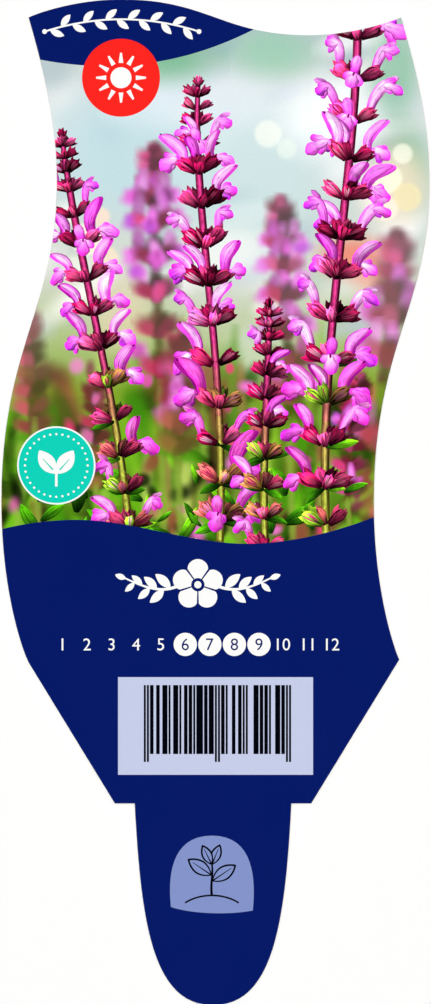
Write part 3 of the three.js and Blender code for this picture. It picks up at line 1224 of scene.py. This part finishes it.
class SheetMesh:
    """Collects the faces of the sheet with their ink, colour, drawn lines and place on the
    bake map."""

    def __init__(self, line):
        self.line = line
        self.outward = outward(line)
        self.left = line[:, 0].min()
        self.points, self.faces, self.inks, self.smooth = [], [], [], []
        self.colours, self.lines, self.places = [], [], []

    def inset(self, distance):
        """The cut line, moved inwards."""
        return self.line - distance * self.outward

    def add(self, face, ink, colours, lines, places, rounded=False):
        self.faces.append(face)
        self.inks.append(ink)
        self.smooth.append(rounded)
        self.colours.extend(colours)
        self.lines.extend(lines)
        self.places.extend(places)

    def flat_places(self, points, column):
        """Where points of the front or the back lie on the bake map."""
        return [(column + (x - self.left) * BAKE_SCALE + BAKE_MARGIN,
                 y * BAKE_SCALE + BAKE_MARGIN) for x, y in points]

    def make_object(self, name, tip):
        data = bpy.data.meshes.new(name)
        points = np.array(self.points) * MM + (tip.x, tip.y, SHEET_LOW.z)
        data.from_pydata(points.tolist(), [], self.faces)
        data.polygons.foreach_set("material_index", self.inks)
        data.polygons.foreach_set("use_smooth", self.smooth)
        colours = data.attributes.new("print_colour", "FLOAT_COLOR", "CORNER")
        colours.data.foreach_set("color", np.array(self.colours, np.float32).ravel())
        lines = data.attributes.new("drawn_lines", "FLOAT_VECTOR", "CORNER")
        lines.data.foreach_set("vector", np.array(self.lines, np.float32).ravel())
        bake_map = data.uv_layers.new(name="OFBake")
        bake_map.data.foreach_set("uv", np.array(self.places, np.float32).ravel())
        return put_in_scene(name, data)


def picture_tints(page, haze, flat, cells, owners):
    """At each corner of each triangle, the picture's colour, with the strength of its drawn
    lines as alpha, and the drawn lines' own coordinates."""
    tints = np.ones((*cells.shape, 4))
    drawn = np.zeros((*cells.shape, 3))
    backdrop = haze.colours(flat)
    for shape in np.unique(owners[owners >= 0]):
        if INK_NAMES[page.inks[shape]] != PICTURE:
            continue
        rows = np.flatnonzero(owners == shape)
        blade = page.blades[shape]
        if blade is None:
            tints[rows, :, :3] = backdrop[cells[rows]]
            tints[rows, :, 3] = 0
        else:
            colour, lines = blade.tint(flat[cells[rows]].reshape(-1, 2))
            tints[rows, :, :3] = colour.reshape(-1, 3, 3)
            tints[rows, :, 3] = blade.lines
            drawn[rows] = lines.reshape(-1, 3, 3)
    return tints, drawn


def add_front(mesh):
    """The printed front. Gives its border, and the ink and the two end colours of each side
    of its triangles."""
    page, haze = front_page(mesh.line)
    flat, cells, owners, ring = partition(mesh.inset(FRONT_ROUND), page)
    mesh.points = [(x, y, THICKNESS) for x, y in flat]
    tints, drawn = picture_tints(page, haze, flat, cells, owners)
    sides = {}
    for cell, owner, tint, lines in zip(cells.tolist(), owners, tints, drawn):
        ink = page.ink_of(owner)
        mesh.add(cell, ink, tint, lines, mesh.flat_places(flat[cell], FRONT_COLUMN))
        for a, b in ((0, 1), (1, 2), (2, 0)):
            sides[cell[a], cell[b]] = ink, tint[a], tint[b]
    return ring, sides


def rim_profile():
    """The rounded edges of the front and then the back, as (how far in, height)."""
    turns = [math.pi / 2 * k / ROUND_STEPS for k in range(ROUND_STEPS + 1)]
    front = [(FRONT_ROUND * (1 - math.sin(a)), THICKNESS - FRONT_ROUND * (1 - math.cos(a)))
             for a in turns[1:]]
    back = [(BACK_ROUND * (1 - math.cos(a)), BACK_ROUND * (1 - math.sin(a))) for a in turns]
    return front + back


def add_rim(mesh, ring, sides):
    """The cut edge, ring by ring from the front's border round to the back's, which it
    gives. The ink reaches over the front's rounded edge."""
    borders = [[i for i, _ in ring]]
    for depth, z in rim_profile():
        start = len(mesh.points)
        line = mesh.inset(depth)
        mesh.points.extend((*along(line, where), z) for _, where in ring)
        borders.append(list(range(start, len(mesh.points))))
    count = len(ring)
    spots = [along(mesh.line, where) for _, where in ring]
    gaps = [np.linalg.norm(spots[(k + 1) % count] - spots[k]) for k in range(count)]
    run = np.concatenate([[0], np.cumsum(gaps)])
    strip = run[-1] / EDGE_STRIPS
    for step, (upper, lower) in enumerate(zip(borders, borders[1:])):
        share = [EDGE_WIDTH * s / (len(borders) - 1) for s in (step, step + 1)]
        for k in range(count):
            n = (k + 1) % count
            ink, here, there = sides[ring[k][0], ring[n][0]]
            if step >= ROUND_STEPS - 1:
                ink = INK_NAMES.index(CUT_EDGE)
            column = int((run[k] + run[k + 1]) / 2 / strip)
            u0, u1 = (EDGE_COLUMN + EDGE_PITCH * column + s for s in share)
            v0, v1 = ((run[i] - column * strip) * BAKE_SCALE + EDGE_MARGIN for i in (k, k + 1))
            mesh.add([upper[k], lower[k], lower[n], upper[n]], ink, [here, here, there, there],
                     [NO_LINES] * 4, [(u0, v0), (u1, v0), (u1, v1), (u0, v1)], rounded=True)
    return borders[-1]


def add_back(mesh, border):
    """The back, cut with the rim's last border, so that the sheet closes."""
    page = back_page()
    flat, cells, owners, ring = partition(np.array([mesh.points[i][:2] for i in border]), page)
    assert len(ring) == len(border), "a shape on the back crosses the cut line"
    number = {i: border[round(where)] for i, where in ring}
    for i, (x, y) in enumerate(flat):
        if i not in number:
            number[i] = len(mesh.points)
            mesh.points.append((x, y, 0.0))
    for cell, owner in zip(cells[:, ::-1].tolist(), owners):
        mesh.add([number[i] for i in cell], page.ink_of(owner), [np.ones(4)] * 3,
                 [NO_LINES] * 3, mesh.flat_places(flat[cell], BACK_COLUMN))


def build_sheet(line, tip):
    mesh = SheetMesh(line)
    ring, sides = add_front(mesh)
    border = add_rim(mesh, ring, sides)
    add_back(mesh, border)
    return mesh.make_object("printed_label", tip)


# ------------------------------------------------------------------ materials

FLOAT, COLOUR, VECTOR = "NodeSocketFloat", "NodeSocketColor", "NodeSocketVector"
WHITE = (1, 1, 1, 1)

# How fine each texture is, in cells a metre (the petal lines' are in cells a millimetre).
ORANGE_PEEL = 1400
SCUFFS = (2600, 55, 2600)
SCUFFS_TURN = 0.6  # radians
CLOUDS = 60
PRINT_GRAIN = 3200
PETAL_RIBS = (0.35, 5.0, 1.0)
PETAL_BLOTCHES = 1.3
DRAG_LINES = (5200, 5200, 420)

VARNISH_IOR, PLASTIC_IOR = 1.46, 1.5
VARNISH_SPECULAR = 0.14  # low, so that the dark inks stay deep
PEEL_HEIGHT = 0.02 * MM
SMOOTH_ABOVE, TORN_BELOW = 0.34 * MM, 0.30 * MM  # over the back
TORN_WANDER = 0.16 * MM  # how far the border between the two bands wanders
DRAG_HEIGHT = 0.1 * MM


class Nodes:
    """A node tree in the making. Of a node's inputs, sockets are linked and values set."""

    def __init__(self, tree):
        self.tree = tree

    def fill(self, node, inputs):
        for name, value in inputs.items():
            if isinstance(value, bpy.types.NodeSocket):
                self.tree.links.new(value, node.inputs[name])
            else:
                node.inputs[name].default_value = value

    def add(self, kind, inputs, **settings):
        node = self.tree.nodes.new("ShaderNode" + kind)
        for name, value in settings.items():
            setattr(node, name, value)
        self.fill(node, inputs)
        return node

    def place(self):
        """The object's own coordinates, in metres."""
        return self.add("TexCoord", {}).outputs["Object"]

    def attribute(self, name):
        return self.add("Attribute", {}, attribute_name=name).outputs

    def noise(self, where, scale, detail):
        inputs = {"Vector": where, "Scale": scale, "Detail": detail}
        return self.add("TexNoise", inputs).outputs["Fac"]

    def mapped(self, where, **how):
        return self.add("Mapping", {"Vector": where, **how}).outputs["Vector"]

    def ramp(self, value, low, high, to_low=0.0, to_high=1.0):
        """A value between low and high, brought to between to_low and to_high."""
        return self.add("MapRange", {"Value": value, "From Min": low, "From Max": high,
                                     "To Min": to_low, "To Max": to_high}).outputs["Result"]

    def math(self, operation, *terms):
        """MULTIPLY_ADD is the first term times the second, plus the third."""
        return self.add("Math", dict(enumerate(terms)), operation=operation).outputs[0]

    def gained(self, colour, gain):
        """A colour, brighter or darker."""
        inputs = {0: colour, "Scale": gain}
        return self.add("VectorMath", inputs, operation="SCALE").outputs["Vector"]

    def bump(self, height, strength, distance):
        inputs = {"Height": height, "Strength": strength, "Distance": distance}
        return self.add("Bump", inputs).outputs["Normal"]

    def group(self, group, **inputs):
        return self.add("Group", inputs, node_tree=group).outputs


def node_group(name, inputs, outputs):
    """An empty shader node group. Gives its nodes, the outputs of its input node, and its
    output node."""
    group = bpy.data.node_groups.new(name, "ShaderNodeTree")
    for title, kind, value in inputs:
        socket = group.interface.new_socket(title, in_out="INPUT", socket_type=kind)
        if value is not None:
            socket.default_value = value
    for title, kind in outputs:
        group.interface.new_socket(title, in_out="OUTPUT", socket_type=kind)
    given, result = group.nodes.new("NodeGroupInput"), group.nodes.new("NodeGroupOutput")
    return Nodes(group), given.outputs, result


def varnish_group():
    """Gloss varnish over ink: a fine orange peel and a few hairline scuffs."""
    nodes, given, result = node_group(
        "varnish",
        [("Roughness", FLOAT, 0.32), ("Peel", FLOAT, 1.0), ("Scuffs", FLOAT, 1.0)],
        [("Roughness", FLOAT), ("Height", FLOAT)],
    )
    where = nodes.place()
    peel = nodes.noise(where, ORANGE_PEEL, 2)
    clouds = nodes.noise(where, CLOUDS, 3)
    # The crests of a noise drawn out in one direction make the scuffs' hairs.
    turned = nodes.mapped(where, Rotation=(0, 0, SCUFFS_TURN))
    hairs = nodes.ramp(nodes.noise(nodes.mapped(turned, Scale=SCUFFS), 1, 1), 0.68, 0.78)
    patchy = nodes.math("MULTIPLY", hairs, clouds)
    scuff = nodes.math("MULTIPLY", patchy, given["Scuffs"])
    height = nodes.math("MULTIPLY", peel, given["Peel"])
    cloudy = nodes.math("MULTIPLY_ADD", clouds, 0.10, -0.05)
    rough = nodes.math("ADD", given["Roughness"], cloudy)
    nodes.fill(result, {
        "Height": nodes.math("MULTIPLY_ADD", scuff, -0.6, height),
        "Roughness": nodes.math("MULTIPLY_ADD", scuff, 0.25, rough),
    })
    return nodes.tree


def petal_lines_group():
    """Veins and ribs drawn along each petal, and its blotches, from its own coordinates."""
    nodes, given, result = node_group(
        "petal_lines",
        [("Colour", COLOUR, WHITE), ("Lines", VECTOR, None), ("Strength", FLOAT, 0.0),
         ("Blotches", FLOAT, 2.5)],
        [("Colour", COLOUR)],
    )
    ribs = nodes.noise(nodes.mapped(given["Lines"], Scale=PETAL_RIBS), 1.0, 2.0)
    swing = nodes.ramp(ribs, 0.3, 0.7, -0.75, 1.2)
    lined = nodes.math("MULTIPLY_ADD", swing, given["Strength"], 1.0)
    uneven = nodes.math("SUBTRACT", nodes.noise(given["Lines"], PETAL_BLOTCHES, 3.0), 0.5)
    cover = nodes.math("MINIMUM", given["Strength"], 0.5)
    spread = nodes.math("MULTIPLY", uneven, cover)
    patchy = nodes.math("MULTIPLY_ADD", spread, given["Blotches"], lined)
    gain = nodes.math("MAXIMUM", patchy, 0.08)
    nodes.fill(result, {"Colour": nodes.gained(given["Colour"], gain)})
    return nodes.tree


def print_grain_group():
    """The fine grain of a printed tint."""
    nodes, given, result = node_group(
        "print_grain",
        [("Colour", COLOUR, WHITE), ("Amount", FLOAT, 0.08)],
        [("Colour", COLOUR)],
    )
    swing = nodes.math("SUBTRACT", nodes.noise(nodes.place(), PRINT_GRAIN, 2), 0.5)
    gain = nodes.math("MULTIPLY_ADD", swing, given["Amount"], 1.0)
    nodes.fill(result, {"Colour": nodes.gained(given["Colour"], gain)})
    return nodes.tree


def new_material(name):
    """A material with its nodes and its Principled shader."""
    material = bpy.data.materials.new(name)
    material.use_nodes = True
    return material, Nodes(material.node_tree), material.node_tree.nodes["Principled BSDF"]


def ink_material(name, colour, varnish, petal_lines, grain):
    """Ink under gloss varnish. The picture's colours come from the mesh, the others are
    even but for the grain of the print."""
    material, nodes, shader = new_material(name)
    film = nodes.group(varnish, Roughness=0.2, Peel=1.0, Scuffs=0.25)
    if colour is None:
        tint = nodes.attribute("print_colour")
        lines = nodes.attribute("drawn_lines")["Vector"]
        veins = nodes.group(petal_lines, Colour=tint["Color"], Strength=tint["Alpha"],
                            Lines=lines)
        print_colour = nodes.group(grain, Amount=0.12, Colour=veins["Colour"])
    else:
        print_colour = nodes.group(grain, Amount=0.06, Colour=(*linear(colour), 1))
    nodes.fill(shader, {
        "Base Color": print_colour["Colour"],
        "IOR": VARNISH_IOR,
        "Specular IOR Level": VARNISH_SPECULAR,
        "Roughness": film["Roughness"],
        "Normal": nodes.bump(film["Height"], strength=0.1, distance=PEEL_HEIGHT),
    })
    return material


def cut_edge_material(colour):
    """The bare plastic of the cut edge: the die leaves a smooth band above and a torn, dull
    one below, both with drag lines that run down through the sheet."""
    material, nodes, shader = new_material(CUT_EDGE)
    where = nodes.place()
    drag = nodes.noise(nodes.mapped(where, Scale=DRAG_LINES), 1, 3)
    height = nodes.add("SeparateXYZ", {0: where}).outputs["Z"]
    ragged = nodes.math("MULTIPLY_ADD", drag, TORN_WANDER, height)
    torn = nodes.ramp(ragged, SMOOTH_ABOVE, TORN_BELOW)
    depth = nodes.math("MULTIPLY_ADD", torn, 0.9, 0.35)
    relief = nodes.math("MULTIPLY", drag, depth)
    streaks = nodes.math("MULTIPLY_ADD", drag, 0.3, 0.84)
    nodes.fill(shader, {
        "Base Color": nodes.gained(linear(colour), streaks),
        "IOR": PLASTIC_IOR,
        "Roughness": nodes.math("MULTIPLY_ADD", torn, 0.35, 0.3),
        "Normal": nodes.bump(relief, strength=0.6, distance=DRAG_HEIGHT),
    })
    return material


def make_materials():
    """One for each ink, in the order of their numbers in the mesh."""
    varnish, petal_lines, grain = varnish_group(), petal_lines_group(), print_grain_group()
    return [cut_edge_material(colour) if name == CUT_EDGE
            else ink_material(name, colour, varnish, petal_lines, grain)
            for name, colour in INKS.items()]


# ------------------------------------------------------------------ stage

VIEW_PIXELS = 1004  # from the view's top to its bottom
PIXEL_SIZE = 0.171  # millimetres of the label that each one shows
VIEW_MIDDLE = (0.419, 86.05)  # in the print's millimetres
CAMERA_RISE = 1.0  # metres
SENSOR_WIDTH = 36

FLOOR_HALF = 3.0  # metres
FLOOR_GAP = 0.02 * MM  # keeps the floor and the label's back from lying in one plane
FLOOR_COLOUR = (252, 252, 251)

# The softbox overhead lights the print evenly, and the varnish doesn't mirror it. The
# others stand lower around the label, where a slanted look finds them in the varnish.
LIGHTS = (
    # name, place, its two sides in metres, watts, whether the varnish mirrors it
    ("overhead_softbox", (0, 0, 1.9), (2.4, 2.4), 47, False),
    ("left_softbox", (-1.5, 0.6, 0.9), (0.9, 0.9), 5.5, True),
    ("right_softbox", (1.5, 0.3, 0.9), (0.9, 0.9), 4.5, True),
    ("rear_strip", (-1.3, 1.75, 1.25), (0.16, 1.5), 1.0, True),
)
ROOM_LIGHT = 0.02


def make_camera(tip):
    """Straight above the label, with a long lens."""
    data = bpy.data.cameras.new("camera")
    data.sensor_width = SENSOR_WIDTH
    data.lens = SENSOR_WIDTH * (CAMERA_RISE / MM) / (VIEW_PIXELS * PIXEL_SIZE)
    data.clip_start, data.clip_end = 0.01, 20
    camera = put_in_scene("camera", data)
    x, y = VIEW_MIDDLE
    camera.location = tip.x + x * MM, tip.y + y * MM, SHEET_HIGH.z + CAMERA_RISE
    bpy.context.scene.camera = camera


def make_floor():
    bm = bmesh.new()
    bmesh.ops.create_grid(bm, x_segments=8, y_segments=8, size=FLOOR_HALF)
    data = bpy.data.meshes.new("floor")
    bm.to_mesh(data)
    bm.free()
    material, nodes, shader = new_material("floor_paint")
    nodes.fill(shader, {
        "Base Color": (*linear(FLOOR_COLOUR), 1),
        "Roughness": 0.9,
        "Specular IOR Level": 0.2,
    })
    data.materials.append(material)
    floor = put_in_scene("floor", data)
    floor.location.z = SHEET_LOW.z - FLOOR_GAP


def make_lights():
    for name, place, sides, power, mirrored in LIGHTS:
        data = bpy.data.lights.new(name, "AREA")
        data.shape = "RECTANGLE"
        data.size, data.size_y = sides
        data.energy = power
        light = put_in_scene(name, data)
        light.location = place
        light.rotation_euler = (-Vector(place)).to_track_quat("-Z", "Y").to_euler()
        light.visible_glossy = mirrored
    world = bpy.data.worlds.new("room")
    world.use_nodes = True
    Nodes(world.node_tree).fill(world.node_tree.nodes["Background"],
                                {"Color": WHITE, "Strength": ROOM_LIGHT})
    bpy.context.scene.world = world
    bpy.context.scene.view_settings.view_transform = "Standard"


# ------------------------------------------------------------------ put together

CUT_LINE, TIP = cut_outline()
label = build_sheet(CUT_LINE, TIP)
for material in make_materials():
    label.data.materials.append(material)
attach(label, "root")
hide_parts(SHEET)
make_floor()
make_lights()
make_camera(TIP)
